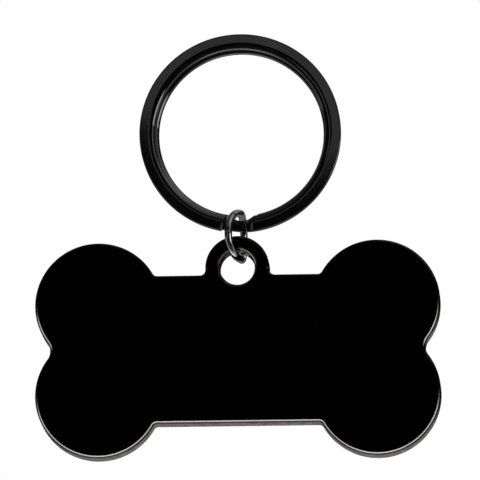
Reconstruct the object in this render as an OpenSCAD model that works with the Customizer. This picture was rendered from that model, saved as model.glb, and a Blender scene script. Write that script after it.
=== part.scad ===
// Pet identity tag: a bone-shaped plate hung by a round jump ring from a two-turn split ring.
// It hangs at rest with the face of the plate towards -Y. The origin is the inside of the
// split ring at its top, where the loop of a collar carries it.

/* [Tag plate] */
// Overall width of the bone outline
plate_w = 50; // [42:0.5:60]
// Overall height of the bone outline, without the lug
plate_h = 26.9; // [25:0.1:29]
// Radius of each of the four round lobes
lobe_r = 7.8; // [7:0.1:8.6]
// Height of the straight middle of the bone
waist_h = 18.5; // [16:0.1:20]
// Thickness of the plate
plate_t = 3; // [2:0.1:3.4]
// Bevel along every outer edge of the plate
edge_bevel = 0.25; // [0.1:0.05:0.4]
// Inside rounding where the straight middle meets a lobe
waist_round_r = 0.6; // [0.3:0.1:1.2]
// Inside rounding between the two lobes at each end
notch_round_r = 1.7; // [0.8:0.1:2.5]

/* [Lug of the plate] */
// Radius of the round lug
lug_r = 3.95; // [3.4:0.05:4.2]
// Height of the lug's centre above the top edge of the middle
lug_rise = 0.95; // [0.5:0.05:1.5]
// Inside rounding where the lug meets the top edge
lug_round_r = 0.7; // [0.4:0.05:1.2]
// Radius of the hole through the lug
hole_r = 2.15; // [1.9:0.05:2.4]
// Bevel of the hole's two rims
hole_bevel = 0.35; // [0.2:0.05:0.45]
// Distance of the plate's middle to one side of the jump ring it hangs on
plate_side = 0.4; // [0:0.05:0.5]

/* [Jump ring] */
// Diameter of the round wire
jump_wire_d = 0.95; // [0.7:0.05:1.1]
// Inside diameter of the ring
jump_inner_d = 4.8; // [4.4:0.05:5.2]
// Turn of the ring about the vertical, away from square to the plate
jump_turn = 16; // [8:1:20]
// How far its front half and its rear half are each bent out of the ring's plane
jump_fold = 12; // [4:1:14]
// Radius of the bends between the two halves, at the top and the bottom of the ring
jump_bend_r = 0.8; // [0.6:0.1:1.2]
// Width of the hairline cut where the two ends of the wire meet
jump_cut_w = 0.08; // [0.05:0.01:0.2]
// Gap between the wire and the edges of the lug's hole, along the radius of the ring
jump_hole_gap = 0.1; // [0.05:0.01:0.3]
// Gap between the inside of the jump ring and the split ring that carries it
jump_seat_gap = 0.45; // [0.1:0.01:0.5]
// Distance of the jump ring to one side of the split ring's lowest point
jump_side = 0; // [0:0.05:0.6]

/* [Split ring] */
// Outside diameter of the front turn
ring_od = 25; // [20:0.5:32]
// Width of the flat wire, measured along the radius
ring_wire_w = 1.95; // [1.8:0.05:2.4]
// Thickness of one turn of the wire
ring_wire_t = 1; // [0.8:0.05:1.2]
// Gap between the two turns
ring_turn_gap = 0.1; // [0.06:0.01:0.2]
// How much smaller the radius of the rear turn is
ring_rear_less = 0.35; // [0:0.05:0.4]
// Distance of the rear turn's centre to one side of the front turn's
ring_rear_side = 0.1; // [0:0.05:0.2]
// How far the rounded inner edge of the wire reaches into its width
ring_inner_round = 0.85; // [0.4:0.05:0.9]
// Rounding of the outer corners of the wire
ring_outer_round = 0.15; // [0.05:0.05:0.3]
// Angle of the bend that takes the wire from one turn to the other
ring_bend_angle = 18; // [14:1:24]
// Angle of the open space between the bend and each cut end
ring_end_angle = 2; // [1:0.5:6]
// How much narrower the wire is at the middle of the bend
ring_bend_thin = 0.6; // [0:0.05:0.6]

/* [Hidden] */
$fn = 96;
// Overrun of every cut past the solid that it cuts
over = 1;
// Segments of the wire's rounded inner edge and of an outer corner
edge_steps = 6;
corner_steps = 2;
// Stations along one turn of the wire and along its bend
turn_steps = 56;
bend_steps = 14;
// Sides of the jump ring's round wire, and its stations along a quarter and along a bend
hoop_sides = 20;
hoop_steps = 15;
hoop_bend_steps = 4;

// Split ring: its centre, and where its wire is thinnest, at the lowest point
ring_r = ring_od / 2;
ring_z = ring_wire_w + ring_rear_less - ring_r;
ring_layer = (ring_wire_t + ring_turn_gap) / 2;
ring_turn = 360 - ring_bend_angle - ring_end_angle;
bend_start = -90 - ring_bend_angle / 2;
bend_wire_w = ring_wire_w - ring_bend_thin;
bend_z = ring_z - ring_r + ring_rear_less / 2 + bend_wire_w / 2;

// Jump ring: hung under the thin part of the split ring's wire
jump_ri = jump_inner_d / 2;
jump_r = jump_ri + jump_wire_d / 2;
jump_x = -jump_side;
jump_z = bend_z + bend_wire_w / 2 + jump_seat_gap - jump_ri;

// Depth in front of the ring's middle at which its lower bend passes into its front half,
// and the way along that half from there to a greater depth y, as seen from above
jump_bend_y = jump_bend_r * (cos(jump_turn) * sin(jump_fold)
                             - sin(jump_turn) * (1 - cos(jump_fold)));
function front_reach(y) = (y - jump_bend_y) / cos(jump_turn + jump_fold);

// Plate: its hole hangs on the jump ring by the two edges of its bevelled rim, so the drop
// from the ring's centre to the top of the hole is the smaller of the two drops at which
// those edges come within the gap of the ring's front half
half_t = plate_t / 2;
free_ri = jump_ri - jump_hole_gap;
wall_drop = sqrt(pow(free_ri, 2) - pow(front_reach(half_t - hole_bevel), 2));
rim_drop = sqrt(pow(free_ri, 2) - pow(front_reach(half_t), 2)) + hole_bevel;
hole_z = jump_z - min(wall_drop, rim_drop) - sqrt(pow(hole_r, 2) - pow(plate_side, 2));
plate_x = jump_x - plate_side;
lug_h = waist_h / 2 + lug_rise;
plate_z = hole_z - lug_h;
lobe_x = plate_w / 2 - lobe_r;
lobe_y = plate_h / 2 - lobe_r;

// Outline of the flat wire as [radius, height] points, counter-clockwise from the lower
// outer corner: two small outer roundings and one wide half-oval on the inner side
function wire_section(w) = concat(
    [for (i = [0:corner_steps]) let (a = -90 + 90 * i / corner_steps)
        [ring_r - ring_outer_round * (1 - cos(a)),
         -ring_wire_t / 2 + ring_outer_round * (1 + sin(a))]],
    [for (i = [0:corner_steps]) let (a = 90 * i / corner_steps)
        [ring_r - ring_outer_round * (1 - cos(a)),
         ring_wire_t / 2 - ring_outer_round * (1 - sin(a))]],
    [for (i = [0:edge_steps]) let (a = 90 + 180 * i / edge_steps)
        [ring_r - w + ring_inner_round * (1 + cos(a)), ring_wire_t / 2 * sin(a)]]);

// Angles along the wire, counter-clockwise as seen from the front, where -90 is the
// lowest point: the rear turn from its cut end, then the bend, then the front turn
function wire_angles() = concat(
    [for (i = [0:turn_steps - 1]) bend_start - ring_turn * (1 - i / turn_steps)],
    [for (i = [0:bend_steps - 1]) bend_start + ring_bend_angle * i / bend_steps],
    [for (i = [0:turn_steps]) bend_start + ring_bend_angle + ring_turn * i / turn_steps]);

// The wire's section at angle a. Through the bend it crosses from the rear turn to the
// front turn in a smooth step, and grows thin at the middle of the step
function wire_station(a) =
    let (u = min(max((a - bend_start) / ring_bend_angle, 0), 1),
         rear = 1 - u * u * (3 - 2 * u),
         less = ring_rear_less * rear)
    [for (p = wire_section(ring_wire_w - ring_bend_thin * sin(180 * u)))
        [(p[0] - less) * cos(a) + ring_rear_side * rear, (p[0] - less) * sin(a),
         p[1] + ring_layer * (1 - 2 * rear)]];

// Solid wire through a row of equal outlines, each a closed loop of points
module swept_wire(stations) {
    sides = len(stations[0]);
    last = (len(stations) - 1) * sides;
    walls = [for (a = [0:sides:last - sides]) for (i = [0:sides - 1])
        let (j = (i + 1) % sides)
        for (f = [[a + i, a + sides + j, a + j], [a + i, a + sides + i, a + sides + j]]) f];
    caps = [[for (i = [0:sides - 1]) i], [for (i = [sides - 1:-1:0]) last + i]];
    polyhedron([for (s = stations) for (p = s) p], concat(caps, walls), convexity = 6);
}

// Split ring: one flat wire wound twice round, with both cut ends beside the bend
module split_ring()
    color("#2c2c2e")
        translate([0, 0, ring_z])
            rotate([90, 0, 0])
                swept_wire([for (a = wire_angles()) wire_station(a)]);

// Angles along the jump ring's wire, each with the turn of the wire's plane there. They
// start beside the cut at the rear, 90, and pass the bend at the bottom, 180, the front,
// 270, and the bend at the top, 360
function hoop_path() =
    let (cut = asin(jump_cut_w / 2 / jump_r), q = hoop_steps, n = hoop_bend_steps)
    concat([for (i = [0:q]) [90 + cut + (90 - cut) * i / q, jump_fold]],
           [for (i = [1:n - 1]) [180, jump_fold * (1 - 2 * i / n)]],
           [for (i = [0:2 * q]) [180 + 90 * i / q, -jump_fold]],
           [for (i = [1:n - 1]) [360, jump_fold * (2 * i / n - 1)]],
           [for (i = [0:q]) [360 + (90 - cut) * i / q, jump_fold]]);

// Round outline of the wire at angle g of the ring, in a plane turned by b
function hoop_station(g, b) =
    [for (i = [0:hoop_sides - 1])
        let (a = 360 * i / hoop_sides,
             r = jump_r + jump_wire_d / 2 * cos(a),
             x = jump_bend_r + jump_wire_d / 2 * sin(a),
             y = r * sin(g))
        [x * cos(b) - y * sin(b) - jump_bend_r, x * sin(b) + y * cos(b), r * cos(g)]];

// Jump ring: round wire whose front and rear halves are bent a little towards each other,
// as by the pliers that closed it, with a hairline cut at the rear
module jump_ring()
    color("#7a7b7e")
        translate([jump_x, 0, jump_z])
            rotate(-jump_turn)
                swept_wire([for (p = hoop_path()) hoop_station(p[0], p[1])]);

// Disc of the plate's thickness with both rims bevelled
module bevelled_disc(r)
    rotate_extrude()
        polygon([[0, -half_t], [r - edge_bevel, -half_t], [r, -half_t + edge_bevel],
                 [r, half_t - edge_bevel], [r - edge_bevel, half_t], [0, half_t]]);

// Cutter for a round hole or an inside rounding whose rims have the given bevel
module flared_cutter(r, bevel)
    rotate_extrude()
        polygon([[0, -half_t - over], [r + bevel + over, -half_t - over],
                 [r, -half_t + bevel], [r, half_t - bevel],
                 [r + bevel + over, half_t + over], [0, half_t + over]]);

// Bar of height h and length l with its two long edges bevelled on both faces
module bevelled_bar(l, h)
    rotate([90, 0, 90])
        linear_extrude(l, center = true)
            polygon([for (s = [[-1, -1], [1, -1], [1, 1], [-1, 1]])
                for (p = s[0] * s[1] > 0
                    ? [[h / 2, half_t - edge_bevel], [h / 2 - edge_bevel, half_t]]
                    : [[h / 2 - edge_bevel, half_t], [h / 2, half_t - edge_bevel]])
                    [s[0] * p[0], s[1] * p[1]]]);

// Fillet of radius r about centre c, between the directions from c to a and to b
module fillet_web(c, r, a, b) {
    ua = (a - c) / norm(a - c);
    ub = (b - c) / norm(b - c);
    translate([c[0], c[1], 0])
        difference() {
            linear_extrude(plate_t, center = true)
                polygon([[0, 0], ua * 2 * r, (ua + ub) * 2 * r, ub * 2 * r]);
            flared_cutter(r, edge_bevel);
        }
}

// Bone outline with a lug, all edges bevelled, lying flat about the plate's centre
module flat_bone() {
    corner_c = [lobe_x - sqrt(pow(lobe_r + waist_round_r, 2)
                              - pow(waist_h / 2 + waist_round_r - lobe_y, 2)),
                waist_h / 2 + waist_round_r];
    notch_c = [lobe_x + sqrt(pow(lobe_r + notch_round_r, 2) - pow(lobe_y, 2)), 0];
    lug_c = [sqrt(pow(lug_r + lug_round_r, 2) - pow(lug_rise - lug_round_r, 2)),
             waist_h / 2 + lug_round_r];
    difference() {
        union() {
            bevelled_bar(2 * lobe_x, waist_h);
            translate([0, lug_h, 0]) bevelled_disc(lug_r);
            for (side = [0, 1]) mirror([side, 0, 0]) {
                for (y = [-1, 1]) {
                    translate([lobe_x, y * lobe_y, 0]) bevelled_disc(lobe_r);
                    fillet_web([corner_c[0], y * corner_c[1]], waist_round_r,
                               [corner_c[0], 0], [lobe_x, y * lobe_y]);
                }
                fillet_web(notch_c, notch_round_r, [lobe_x, lobe_y], [lobe_x, -lobe_y]);
                fillet_web(lug_c, lug_round_r, [0, lug_h], [lug_c[0], 0]);
            }
        }
        translate([0, lug_h, 0]) flared_cutter(hole_r, hole_bevel);
    }
}

// Bone plate: hung on the jump ring, with its face towards -Y
module bone_plate()
    color("#0b0b0c")
        translate([plate_x, 0, plate_z])
            rotate([90, 0, 0])
                flat_bone();

split_ring();
jump_ring();
bone_plate();
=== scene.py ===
"""Pet identity tag: a black bone-shaped plate on a jump ring, hung from a split ring.

Sizes are in millimetres, and turn into metres where a mesh is made. Every shape is a
function of two parameters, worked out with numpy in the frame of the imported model.
"""
import bpy
import numpy as np
from mathutils import Matrix, Vector
from mathutils.geometry import tessellate_polygon


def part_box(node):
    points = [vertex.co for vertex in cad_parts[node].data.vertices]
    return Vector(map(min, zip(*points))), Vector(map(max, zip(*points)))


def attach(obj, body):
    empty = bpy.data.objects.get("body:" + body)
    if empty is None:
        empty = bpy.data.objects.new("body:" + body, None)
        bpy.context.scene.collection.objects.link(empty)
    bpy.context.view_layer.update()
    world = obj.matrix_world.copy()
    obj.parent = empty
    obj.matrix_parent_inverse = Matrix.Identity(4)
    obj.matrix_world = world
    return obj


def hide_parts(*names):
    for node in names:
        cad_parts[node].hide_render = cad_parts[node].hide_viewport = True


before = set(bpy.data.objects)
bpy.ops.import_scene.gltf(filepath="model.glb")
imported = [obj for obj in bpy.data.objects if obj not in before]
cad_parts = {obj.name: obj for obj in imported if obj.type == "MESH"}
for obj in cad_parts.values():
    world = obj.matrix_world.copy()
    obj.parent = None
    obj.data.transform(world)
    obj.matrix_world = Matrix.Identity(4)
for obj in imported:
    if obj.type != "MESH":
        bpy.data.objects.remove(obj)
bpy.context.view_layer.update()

# Camera. A long lens 0.9 m away looks up at the hanging tag by 11 degrees and from 3
# degrees to its right, so the lower edges and the inside of the split ring show. It is
# aimed at the top of the lug, and rolled by a quarter degree.
plate_lo, plate_hi = [np.array(corner) * 1000 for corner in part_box("bone_plate")]
bone_h = 26.9
bone_x, bone_z = (plate_lo[0] + plate_hi[0]) / 2, plate_lo[2] + bone_h / 2
camera_turn, camera_rise, camera_roll = np.radians([3.0, -11.0, -0.25])
camera_far, focal_length, film_width = 0.9, 546, 36
aim_right, aim_above = 0.29, 13.88
aim = Vector((bone_x + aim_right, 0, bone_z + aim_above)) / 1000
look = Vector((-np.sin(camera_turn) * np.cos(camera_rise),
               np.cos(camera_turn) * np.cos(camera_rise), -np.sin(camera_rise)))
lens = bpy.data.cameras.new("camera")
lens.lens, lens.sensor_width = focal_length, film_width
lens.clip_start, lens.clip_end = 0.05, 20
camera = bpy.data.objects.new("camera", lens)
camera.matrix_world = (Matrix.Translation(aim - look * camera_far)
                       @ look.to_track_quat("-Z", "Y").to_matrix().to_4x4()
                       @ Matrix.Rotation(camera_roll, 4, "Z"))
bpy.context.scene.collection.objects.link(camera)
bpy.context.scene.camera = camera


# Studio. The camera sees a white room and a pale table far below. Polished metal mirrors
# a graded room instead: a lit backdrop and a glow low down on a dark ground, and soft
# boxes to the right, to the left and in front. The box overhead lights the tag unseen.
class Flow:
    """A socket of a node tree: arithmetic on it adds Math nodes, node() adds any other."""

    def __init__(self, tree, socket=None):
        self.tree, self.socket = tree, socket

    def node(self, kind, settings=None, sockets=None, out=0):
        """Adds a node: its settings first, then a value or a link for each socket."""
        made = self.tree.nodes.new("ShaderNode" + kind)
        for name, value in (settings or {}).items():
            if name == "stops":
                ramp = made.color_ramp.elements
                ramp[0].position, ramp[1].position = value[0][0], value[-1][0]
                for place, shade in value[1:-1]:
                    ramp.new(place)
                for stop, (place, shade) in zip(ramp, value):
                    stop.color = (shade, shade, shade, 1)
            else:
                setattr(made, name, value)
        for name, value in (sockets or {}).items():
            if isinstance(value, Flow):
                self.tree.links.new(value.socket, made.inputs[name])
            else:
                made.inputs[name].default_value = value
        return Flow(self.tree, made.outputs[out]) if made.outputs else None

    def math(self, operation, *values):
        """A Math node with the given operation on the values."""
        return self.node("Math", {"operation": operation}, dict(enumerate(values)))

    def step(self, low, high):
        """0 below low, 1 above high and a smooth step between them."""
        return self.node("MapRange", {"interpolation_type": "SMOOTHSTEP"},
                         {0: self, 1: low, 2: high})

    def mix(self, first, second):
        """Colours first and second, mixed by the value."""
        blend = [v if isinstance(v, Flow) else (*v, 1) for v in (first, second)]
        return self.node("Mix", {"data_type": "RGBA"}, {0: self, 6: blend[0], 7: blend[1]},
                         out=2)

    def __add__(self, other):
        return self.math("ADD", self, other)

    def __rsub__(self, other):
        return self.math("SUBTRACT", other, self)

    def __mul__(self, other):
        return self.math("MULTIPLY", self, other)

    __radd__, __rmul__ = __add__, __mul__


world = bpy.data.worlds.new("studio")
world.use_nodes = True
world.node_tree.nodes.clear()
bpy.context.scene.world = world
room = Flow(world.node_tree)
toward = room.node("TexCoord")
right, back, up = (room.node("SeparateXYZ", None, {0: toward}, out=i) for i in (0, 1, 2))
camera_ray, glossy_ray = (room.node("LightPath", out=i) for i in (0, 3))


def graded(value, stops):
    """Grey that follows the stops [value, shade], for a value from -1 to 1."""
    return value.node("ValToRGB", {"stops": [((v + 1) / 2, shade) for v, shade in stops]},
                      {0: value * 0.5 + 0.5})


# Both gradings run from -1 in front of the tag to 1 straight behind it. The backdrop is
# the room above the horizon, and the table's glow is the room below it.
backdrop = graded(back, [(-1, 0.01), (0, 0.02), (0.62, 0.04), (0.76, 0.5), (0.9, 0.5),
                         (0.95, 0.06), (0.97, 0.015), (1, 0.01)])
overhead = up.step(0.4, 0.75) * (0.06 + 0.3 * right.step(-0.3, 0.5))
sideways = room.math("ABSOLUTE", right).step(0.3, 0.7)
table_glow = (1.5 - sideways) * graded(back, [
    (-1, 0.01), (-0.45, 0.04), (-0.27, 0.4), (-0.17, 1), (0.22, 1), (0.42, 0.15),
    (0.85, 0.2), (0.95, 0.1), (1, 0.03)])
mirrored = up.step(-0.12, 0.0).mix(table_glow, backdrop + overhead)
light = camera_ray.mix(glossy_ray.mix((0.7, 0.7, 0.7), mirrored), (1, 1, 1))
room.node("OutputWorld", None, {0: room.node("Background", None, {0: light})})


def new_finish(name):
    """A new material without nodes, and the flow that adds its nodes."""
    made = bpy.data.materials.new(name)
    made.use_nodes = True
    made.node_tree.nodes.clear()
    return made, Flow(made.node_tree)


table_r, table_z, table_sides = 3.2, -0.36, 96
table = bpy.data.meshes.new("table")
turn = np.linspace(0, 2 * np.pi, table_sides + 1)[:-1]
table.from_pydata(np.stack([table_r * np.cos(turn), table_r * np.sin(turn),
                            np.full(table_sides, table_z)], 1).tolist(),
                  [], [list(range(table_sides))])
pale, paper = new_finish("pale table")
object_place = 3  # this output of Texture Coordinate gives Object coordinates
fleck = paper.node("TexNoise", None, {
    "Vector": paper.node("TexCoord", out=object_place), "Scale": 30})
matt = paper.node("BsdfPrincipled", None, {
    "Base Color": fleck.mix((0.86, 0.86, 0.86), (0.9, 0.9, 0.9)), "Roughness": 0.6})
paper.node("OutputMaterial", None, {"Surface": matt})
table.materials.append(pale)
table_top = bpy.data.objects.new("table", table)
bpy.context.scene.collection.objects.link(table_top)
table_top.visible_glossy = False

tag_middle = Vector((0, 0, -0.025))


def soft_box(name, place, width, height, glow, roll=0):
    """Lamp of the given size in metres, turned to the tag; glow is its brightness.

    The roll turns it about the line to the tag, in degrees."""
    lamp = bpy.data.lights.new(name, "AREA")
    lamp.shape, lamp.size, lamp.size_y = "RECTANGLE", width, height
    lamp.energy = glow * np.pi * width * height
    box = bpy.data.objects.new(name, lamp)
    toward_tag = tag_middle - Vector(place)
    box.matrix_world = (Matrix.Translation(place)
                        @ toward_tag.to_track_quat("-Z", "Y").to_matrix().to_4x4()
                        @ Matrix.Rotation(np.radians(roll), 4, "Z"))
    bpy.context.scene.collection.objects.link(box)
    return box


soft_box("overhead_box", (-0.1, -0.2, 0.9), 0.3, 0.3, 9).visible_glossy = False
soft_box("right_box", (0.66, -0.46, -0.06), 0.34, 0.3, 2)
soft_box("tall_right_box", (0.85, -0.72, 0.42), 0.4, 1.5, 0.45)
soft_box("left_box", (-0.35, -0.75, 0.02), 0.16, 0.5, 0.25)
# The flat face of the split ring mirrors this narrow one as a grey with a slanted end.
soft_box("front_box", (-0.04, -0.95, 0.223), 0.3, 0.074, 0.205, roll=-12)


# Tag plate. Die-cast zinc alloy, one bone outline with a round lug, ground flat, bevelled
# along every edge and polished to a mirror, then plated black. The edges are cut after
# plating. Bright bare metal is painted along the lower edges and round the hole, brightest
# at its upper right: partly cut metal, partly a painted highlight of how the light falls.
bone_t = plate_hi[1] - plate_lo[1]
bone_w, lobe_r, waist_h, bone_bevel = 50, 7.8, 18.5, 0.25
waist_round, notch_round = 0.6, 1.7
lug_r, lug_rise, lug_round, hole_r, hole_bevel = 3.95, 0.95, 0.7, 2.15, 0.35
lug_centre = np.array([0, waist_h / 2 + lug_rise])
face_margin, bore_margin = 0.75, 0.55
edge_ease, face_hold, wall_hold = 0.03, 0.07, 0.15
arc_pitch, arc_fewest, hole_sides = 0.12, 8, 240


def arc(centre, radius, start, end, inside=False):
    """Points and outward normals of an arc from start to end, about arc_pitch apart.

    A point is the centre plus the radius times (cos, sin). On an inside rounding the
    normal points at the centre, because the metal lies outside the arc."""
    count = max(int(radius * abs(np.radians(end - start)) / arc_pitch), arc_fewest)
    turn = np.radians(np.linspace(start, end, count + 1))
    way = np.stack([np.cos(turn), np.sin(turn)], 1)
    return centre + radius * way, -way if inside else way


def heading(a, b):
    """Direction from point a to point b, in degrees."""
    return np.degrees(np.arctan2(*(b - a)[::-1]))


def bone_outline():
    """The outline clockwise from the top of the lug, as tangent arcs of half of it.

    Two arcs touch where the line between their centres crosses them; straight edges lie
    between the roundings of the waist. The left half is the mirror of the right one."""
    lobe = np.array([bone_w / 2 - lobe_r, bone_h / 2 - lobe_r])
    web = np.array([np.sqrt((lug_r + lug_round) ** 2 - (lug_rise - lug_round) ** 2),
                    waist_h / 2 + lug_round])
    corner_y = waist_h / 2 + waist_round
    corner = np.array([lobe[0] - np.sqrt((lobe_r + waist_round) ** 2
                                         - (corner_y - lobe[1]) ** 2), corner_y])
    notch = np.array([lobe[0] + np.sqrt((lobe_r + notch_round) ** 2 - lobe[1] ** 2), 0])
    web_a, corner_a = heading(lug_centre, web), heading(corner, lobe)
    notch_a = heading(notch, lobe)
    down = np.array([1, -1])
    arcs = [arc(lug_centre, lug_r, 90, web_a), arc(web, lug_round, 180 + web_a, 270, True),
            arc(corner, waist_round, 270, 360 + corner_a, True),
            arc(lobe, lobe_r, 180 + corner_a, notch_a - 180),
            arc(notch, notch_round, notch_a, 360 - notch_a, True),
            arc(lobe * down, lobe_r, 180 - notch_a, -180 - corner_a),
            arc(corner * down, waist_round, -corner_a, 90, True)]
    place, way = (np.concatenate(parts) for parts in zip(*arcs))
    same = 1e-6
    fresh = np.append(True, np.linalg.norm(np.diff(place, axis=0), axis=1) > same)
    place, way = place[fresh], way[fresh]
    mirror = np.array([-1, 1])
    return (np.concatenate([place, place[:0:-1] * mirror]),
            np.concatenate([way, way[:0:-1] * mirror]))


def eased(corners, ease, steps=5):
    """A line of [inset, depth, wear and painted highlight] points whose inner corners are
    eased.

    Each corner c gives way to the curve (1-s)^2 a + 2s(1-s) c + s^2 b, where a and b lie
    at the given distance before and after it."""
    corners = np.array(corners, float)
    leg = np.diff(corners, axis=0)
    leg /= np.linalg.norm(leg[:, :2], axis=1)[:, None]
    mid = corners[1:-1]
    before, after = mid - ease * leg[:-1], mid + ease * leg[1:]
    before[:, 2] = after[:, 2] = mid[:, 2]
    s = np.linspace(0, 1, steps)[None, :, None]
    curve = ((1 - s) ** 2 * before[:, None] + 2 * s * (1 - s) * mid[:, None]
             + s ** 2 * after[:, None])
    return np.concatenate([corners[:1], curve.reshape(-1, 3), corners[-1:]])


def edge_profile(bevel, margin, marks, wall):
    """Section of an edge from the front face, over its bevels, to the rear face.

    It starts on the face, a margin in from the wall. The marks are pairs of a place on
    the bevel, from 0 at the face to 1 at the wall, and its wear, partly a painted
    highlight;
    wall is the same wear and painted highlight on the wall. The face keeps its plating up
    to face_hold from the bevel, and the wall has its full wear and highlight from wall_hold
    below it."""
    half = bone_t / 2
    front = ([[margin, -half, 0], [bevel + face_hold, -half, 0]]
             + [[bevel * (1 - s), bevel * s - half, wear] for s, wear in marks]
             + [[0, bevel - half + wall_hold, wall]])
    rear = [[inset, -depth, wear] for inset, depth, wear in front[::-1]]
    return eased(front + rear, edge_ease)


def band_faces(rows, columns, first=0):
    """Corner numbers of the quads of a grid whose last row joins its first."""
    i, j = np.arange(rows)[:, None], np.arange(columns - 1)[None, :]
    here, below = i * columns + j, (i + 1) % rows * columns + j
    quads = np.stack([below, below + 1, here + 1, here], -1)
    return (first + quads).reshape(-1, 4).tolist()


def faced(faces, points, outward):
    """The faces, each turned over where its normal opposes the outward way."""
    a, b, c = (points[faces[:, i]] for i in range(3))
    wrong = np.cross(b - a, c - a) @ outward < 0
    return np.where(wrong[:, None], faces[:, ::-1], faces).tolist()


def plate_mesh():
    """Points, faces and wear and painted highlight of the plate.

    The outline and the circle of the hole each carry an edge profile: a point is moved
    in from the outline, or out from the hole's circle, by the inset. The front face fills
    the space between the profiles' first points, and the rear face that between their
    last ones. The wear, partly a painted highlight, is full where an edge faces down, where
    the light falls, and round the hole it falls off as the bell curve e^-(t^2) on both
    sides of its upper right, where a painted highlight sits, down to a least share."""
    outline, way = bone_outline()
    rim = edge_profile(bone_bevel, face_margin,
                       [(0, 1), (0.2, 1), (0.42, 0), (1, 0)], 0.55)
    bore = edge_profile(hole_bevel, bore_margin,
                        [(0, 0), (0.3, 0), (0.5, 1), (0.7, 0), (1, 0.1)], 0)
    turn = np.linspace(0, 2 * np.pi, hole_sides + 1)[:-1]
    circle = np.stack([np.cos(turn), np.sin(turn)], 1)
    upper_right, spread, least_low, least_rubbed = np.radians(35), 0.5, 0.12, 0.4
    # Painted highlight as much as wear: edges facing down, where the light falls, and the
    # hole's upper right get the most bright bare metal.
    low = np.clip(0.3 - 1.5 * way[:, 1], least_low, 1)
    rubbed = np.clip(1.4 * np.exp(-(((turn - upper_right) / spread) ** 2)), least_rubbed, 1)
    edge = outline[:, None] - way[:, None] * rim[None, :, :1]
    hole = lug_centre + circle[:, None] * (hole_r + bore[None, :, :1])
    points, wear = [], []
    for ring, profile, share in ((edge, rim, low), (hole, bore, rubbed)):
        depth = np.broadcast_to(profile[:, 1], ring.shape[:2])
        points.append(np.stack([bone_x + ring[..., 0], depth, bone_z + ring[..., 1]],
                               -1).reshape(-1, 3))
        wear.append((share[:, None] * profile[:, 2]).reshape(-1))
    points, wear = np.concatenate(points), np.concatenate(wear)
    hole_first = len(outline) * len(rim)
    faces = (band_faces(len(outline), len(rim))
             + band_faces(len(circle), len(bore), hole_first))
    edge_front = np.arange(len(outline)) * len(rim)
    hole_front = hole_first + np.arange(len(circle)) * len(bore)
    front = np.concatenate([edge_front, hole_front])
    rear = np.concatenate([edge_front + len(rim) - 1, hole_front + len(bore) - 1])
    fill = np.array(tessellate_polygon([[Vector((x, z, 0)) for x, z in ring[:, 0]]
                                        for ring in (edge, hole)]))
    for numbers, outward in ((front, [0, -1, 0]), (rear, [0, 1, 0])):
        faces += faced(numbers[fill], points, outward)
    return points, faces, wear


def piece(name, points, faces, node, body, plating, marks):
    """Object with smooth faces, points in mm and one number per point for each mark."""
    mesh = bpy.data.meshes.new(name)
    mesh.from_pydata((np.asarray(points) / 1000).tolist(), [], faces)
    for mark, values in marks.items():
        mesh.attributes.new(mark, "FLOAT", "POINT").data.foreach_set(
            "value", np.asarray(values, dtype=np.float32))
    mesh.shade_smooth()
    mesh.materials.append(plating)
    made = bpy.data.objects.new(name, mesh)
    bpy.context.scene.collection.objects.link(made)
    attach(made, body)
    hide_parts(node)


black, coat = new_finish("black mirror plating with cut bevels and painted highlights")
mark_value = 2  # this output of Attribute gives its number
bump_depth = 0.00002
spot = coat.node("TexCoord", out=object_place)
mark = coat.node("Attribute", {"attribute_name": "wear"}, out=mark_value)
grain = coat.node("TexNoise", None, {"Vector": spot, "Scale": 900, "Detail": 4})
nick = coat.node("TexNoise", None, {"Vector": spot, "Scale": 3500, "Detail": 2})
film = coat.node("TexNoise", None, {"Vector": spot, "Scale": 160, "Detail": 5})
# Bright bare metal where the wear attribute is high: partly cut edges, partly a painted
# highlight along the lower edges and round the hole.
bare_and_highlight = (mark * (0.75 + 0.5 * grain)).step(0.1, 0.9)
shine = coat.node("BsdfPrincipled", None, {
    "Base Color": bare_and_highlight.mix((0.035, 0.034, 0.033),
                           bare_and_highlight.mix((0.8, 0.64, 0.46), (0.95, 0.92, 0.88))),
    "Metallic": 1 - bare_and_highlight * 0.5,
    "Roughness": 0.04 + film.step(0.45, 0.75) * 0.04 + bare_and_highlight * 0.4,
    "Normal": coat.node("Bump", None, {"Height": grain + nick * 0.3, "Strength": 0.08,
                                       "Distance": bump_depth})})
coat.node("OutputMaterial", None, {"Surface": shine})

points, faces, wear = plate_mesh()
piece("tag_plate", points, faces, "bone_plate", "bone_plate", black, {"wear": wear})


# Split ring. Flat steel wire with a rounded inner edge, wound twice round on a mandrel,
# hardened, tumbled and plated in black nickel. A thin bend joins the two turns.
split_r = 12.5
split_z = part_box("split_ring")[1][2] * 1000 - split_r
wire_w, wire_t, turn_gap, wire_inner, wire_corner = 1.95, 1, 0.1, 0.85, 0.15
bend_angle, end_angle, bend_thin, rear_less, rear_side = 18, 2, 0.6, 0.35, 0.1
flat_hold, corner_points, oval_points, turn_rows, bend_rows = 0.04, 7, 33, 360, 60


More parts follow.
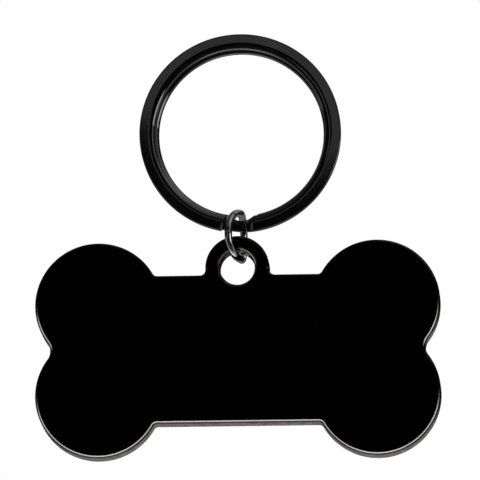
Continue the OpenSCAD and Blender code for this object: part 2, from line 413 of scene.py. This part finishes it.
def wire_section(width):
    """Outline of the flat wire as [radius, height], for an array of widths.

    Two quarter roundings on the outer side, and on the inner side the half oval
    (inner cos a, thickness / 2 sin a). Two points near the ends of each face keep the
    shading of the flat faces flat."""
    width = np.asarray(width)[:, None]
    low = np.radians(np.linspace(-90, 0, corner_points))
    high = np.radians(np.linspace(0, 90, corner_points))
    oval = np.radians(np.linspace(90, 270, oval_points))
    outer = split_r - wire_corner * (1 - np.concatenate([np.cos(low), np.cos(high)]))
    hold = flat_hold * np.ones_like(width)
    radius = np.concatenate([
        np.broadcast_to(outer, (len(width), len(outer))),
        split_r - wire_corner - hold, split_r - width + wire_inner + hold,
        split_r - width + wire_inner * (1 + np.cos(oval)),
        split_r - width + wire_inner + hold, split_r - wire_corner - hold], 1)
    face = np.full(2, wire_t / 2)
    height = np.concatenate([-wire_t / 2 + wire_corner * (1 + np.sin(low)),
                             wire_t / 2 - wire_corner * (1 - np.sin(high)), face,
                             wire_t / 2 * np.sin(oval), -face])
    return radius, np.broadcast_to(height, radius.shape)


def split_ring_mesh():
    """The wire's section carried along both turns, its radius r at (r cos a, r sin a).

    The angle a runs from the rear turn's cut end, through the bend, to the front one's.
    In the bend the section moves forward by the smooth step 3u^2 - 2u^3 and is thinner
    by the sine of half a turn of u. The rear turn is smaller and stands a little aside."""
    start = -90 - bend_angle / 2
    bend_end, turn = start + bend_angle, 360 - bend_angle - end_angle
    angle = np.concatenate([np.linspace(start - turn, start, turn_rows + 1)[:-1],
                            np.linspace(start, bend_end, bend_rows + 1)[:-1],
                            np.linspace(bend_end, bend_end + turn, turn_rows + 1)])
    u = np.clip((angle - start) / bend_angle, 0, 1)
    rear = (1 - u * u * (3 - 2 * u))[:, None]
    radius, height = wire_section(wire_w - bend_thin * np.sin(np.pi * u))
    a, radius = np.radians(angle)[:, None], radius - rear_less * rear
    return np.stack([radius * np.cos(a) + rear_side * rear,
                     (wire_t + turn_gap) / 2 * (2 * rear - 1) - height,
                     split_z + radius * np.sin(a)], -1)


def tube_faces(rows, columns):
    """Quads around a tube of the given rows of points, with a face on each end."""
    i, j = np.arange(rows - 1)[:, None], np.arange(columns)[None, :]
    k = (j + 1) % columns
    quads = np.stack([i * columns + j, (i + 1) * columns + j,
                      (i + 1) * columns + k, i * columns + k], -1).reshape(-1, 4)
    return (quads.tolist() + [list(range(columns))]
            + [list(range(rows * columns - 1, (rows - 1) * columns - 1, -1))])


def run(line):
    """Distance from the first point of a line to each of its points, along it."""
    return np.append(0, np.cumsum(np.linalg.norm(np.diff(line, axis=0), axis=1)))


def wire_plating(name, tone, worn):
    """Polished plating, with hairlines along the wire and brighter rubbed places."""
    plating, flow = new_finish(name)
    spot = flow.node("TexCoord", out=object_place)
    cloud = flow.node("TexNoise", None, {"Vector": spot, "Scale": 350, "Detail": 4})
    speck = flow.node("TexNoise", None, {"Vector": spot, "Scale": 2600, "Detail": 3})
    around = flow.node("Attribute", {"attribute_name": "around"}, out=mark_value)
    along = flow.node("Attribute", {"attribute_name": "along"}, out=mark_value)
    lines = flow.node("TexNoise", None, {
        "Vector": flow.node("CombineXYZ", None, {0: along * 0.05, 1: around * 6.0}),
        "Scale": 3.0, "Detail": 3})
    rubbed = (cloud + speck * 0.4).step(0.72, 1.0) * 0.5
    metal = flow.node("BsdfPrincipled", None, {
        "Base Color": rubbed.mix(tone, worn), "Metallic": 1.0,
        "Roughness": 0.03 + lines.step(0.4, 0.8) * 0.035 + rubbed * 0.08,
        "Normal": flow.node("Bump", None, {"Height": lines + speck * 0.3, "Strength": 0.05,
                                           "Distance": bump_depth})})
    flow.node("OutputMaterial", None, {"Surface": metal})
    return plating


ring = split_ring_mesh()
rows, columns = ring.shape[:2]
black_nickel = wire_plating("black nickel plating", (0.12, 0.12, 0.125), (0.2, 0.2, 0.2))
piece("coiled_ring", ring.reshape(-1, 3), tube_faces(rows, columns), "split_ring",
      "split_ring", black_nickel, {"along": np.repeat(run(ring[:, 0]), columns),
                                   "around": np.tile(run(ring[0]), rows)})


# Jump ring. Round steel wire cut from a coil and closed with pliers, which left its front
# half turned further than its rear half. A hairline cut stays at the rear.
jump_lo, jump_hi = [np.array(corner) * 1000 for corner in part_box("jump_ring")]
jump_d, jump_turn, jump_fold, jump_bend, jump_cut = 0.95, 16, 12, 0.8, 0.08
plate_side = 0.4
jump_x, jump_z = bone_x + plate_side, (jump_lo[2] + jump_hi[2]) / 2
jump_r = (jump_hi[2] - jump_lo[2] - jump_d) / 2
rear_rows, front_rows, fold_rows, jump_sides = 49, 97, 13, 32


def jump_ring_mesh():
    """Round section carried round the ring, whose plane turns by the fold.

    A point of the section lies d/2 sin a aside, and R + d/2 cos a out from the ring's
    middle. The angle g starts beside the cut at the rear, 90, and passes the bottom, 180,
    and the top, 360, where the plane turns from fold to -fold and back about an upright
    axis that stands jump_bend to one side. Each leg gives the ends of g, the ends of the
    fold b and its number of rows."""
    cut = np.degrees(np.arcsin(jump_cut / 2 / jump_r))
    legs = [(90 + cut, 180, jump_fold, jump_fold, rear_rows),
            (180, 180, jump_fold, -jump_fold, fold_rows),
            (180, 360, -jump_fold, -jump_fold, front_rows),
            (360, 360, -jump_fold, jump_fold, fold_rows),
            (360, 450 - cut, jump_fold, jump_fold, rear_rows)]
    g, b = [np.radians(np.concatenate([np.linspace(leg[i], leg[i + 1], leg[4])[skip:]
                                       for leg, skip in zip(legs, (0, 1, 1, 1, 1))]))
            for i in (0, 2)]
    g, b = g[:, None], b[:, None]
    a = np.linspace(2 * np.pi, 0, jump_sides + 1)[None, :-1]
    r = jump_r + jump_d / 2 * np.cos(a)
    x, y = jump_bend + jump_d / 2 * np.sin(a), r * np.sin(g)
    fold_x = x * np.cos(b) - y * np.sin(b) - jump_bend
    fold_y = x * np.sin(b) + y * np.cos(b)
    t = np.radians(-jump_turn)
    return np.stack([jump_x + fold_x * np.cos(t) - fold_y * np.sin(t),
                     fold_x * np.sin(t) + fold_y * np.cos(t),
                     jump_z + r * np.cos(g)], -1)


hoop = jump_ring_mesh()
rows, columns = hoop.shape[:2]
hoop_around = np.linspace(0, np.pi * jump_d, columns, endpoint=False)
gunmetal = wire_plating("gunmetal plating", (0.42, 0.42, 0.43), (0.6, 0.6, 0.58))
piece("closed_hoop", hoop.reshape(-1, 3), tube_faces(rows, columns), "jump_ring",
      "jump_ring", gunmetal, {"along": np.repeat(run(hoop.mean(1)), columns),
                              "around": np.tile(hoop_around, rows)})

bpy.context.scene.view_settings.view_transform = "Standard"
